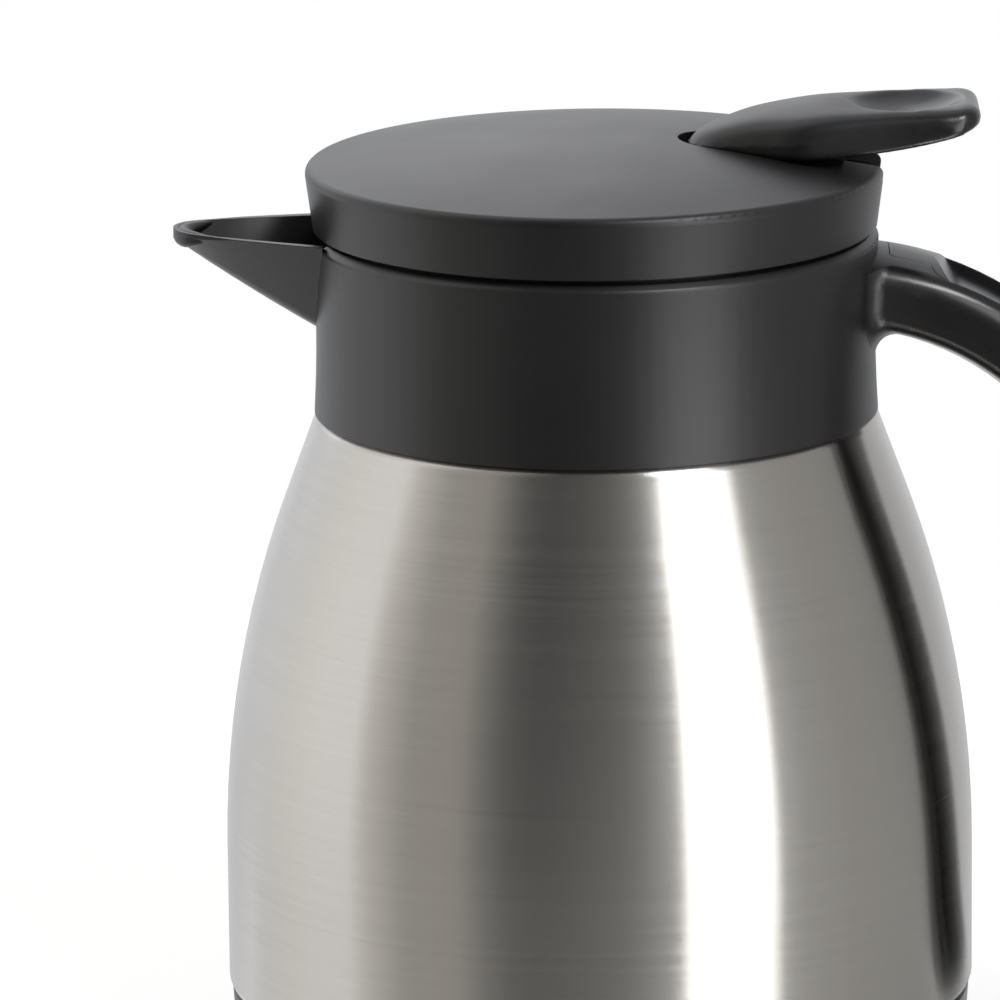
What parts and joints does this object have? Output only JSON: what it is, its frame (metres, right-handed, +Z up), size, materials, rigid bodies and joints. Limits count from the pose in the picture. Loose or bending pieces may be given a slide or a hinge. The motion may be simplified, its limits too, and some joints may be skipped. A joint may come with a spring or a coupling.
{
  "type": "thermal carafe",
  "caption": "Insulated steel carafe with a black pouring collar, short V spout, open C handle and a lift-out stopper lid whose thumb lever raises a spring-loaded pour valve.",
  "frame": {"origin": "middle of the foot, on the plane the carafe stands on, under the bottle's own axis", "axes": "+Z up along the bottle's axis, -X towards the spout, +X towards the handle and the thumb lever"},
  "size_m": [0.1858, 0.14, 0.1794],
  "materials": {
    "brushed_steel": "fine circumferential brushing",
    "liner_steel": "satin, electropolished inside",
    "getter_bead": "dull braze",
    "black_plastic": "satin black moulding",
    "valve_plastic": "satin black moulding",
    "silicone": "translucent grey silicone",
    "plain_steel": "plain bright steel"
  },
  "bodies": {
    "carafe": {"outer_shell": "brushed_steel", "inner_liner": "liner_steel", "liner_floor": "liner_steel", "shell_bottom": "liner_steel", "vacuum_seal": "getter_bead", "base_cap": "black_plastic", "pouring_collar": "black_plastic", "neck_gasket": "silicone", "handle_insert": "black_plastic"},
    "stopper": {"lid_cover": "black_plastic", "stopper_body": "black_plastic", "plug_sleeve": "black_plastic", "valve_seat": "black_plastic", "seat_o_ring": "silicone", "stopper_seal": "silicone", "lever_pin": "plain_steel", "lid_screws": "plain_steel", "stem_wiper": "silicone", "valve_spring": "plain_steel"},
    "thumb_lever": {"lever": "black_plastic"},
    "valve": {"valve_stem": "plain_steel", "stem_pin": "plain_steel", "valve_disc": "valve_plastic", "valve_washer": "silicone", "stem_nut": "plain_steel"}
  },
  "joints": [
    {"name": "stopper_lift", "type": "slide", "parent": "carafe", "child": "stopper", "axis": [0, 0, 1], "range_m": [0, 0.09]},
    {"name": "lever_press", "type": "hinge", "parent": "stopper", "child": "thumb_lever", "pos_m": [0.04, 0, 0.163], "axis": [0, 1, 0], "range_deg": [0, 8], "stiffness_Nm_per_rad": 0.64, "springref_deg": -3.58},
    {"name": "valve_lift", "type": "slide", "parent": "stopper", "child": "valve", "axis": [0, 0, 1], "range_m": [0, 0.00558], "deforming": ["valve_spring"]}
  ],
  "couplings": [
    {"joint": "lever_press", "follows": "valve_lift", "rad_per_m": 25}
  ]
}
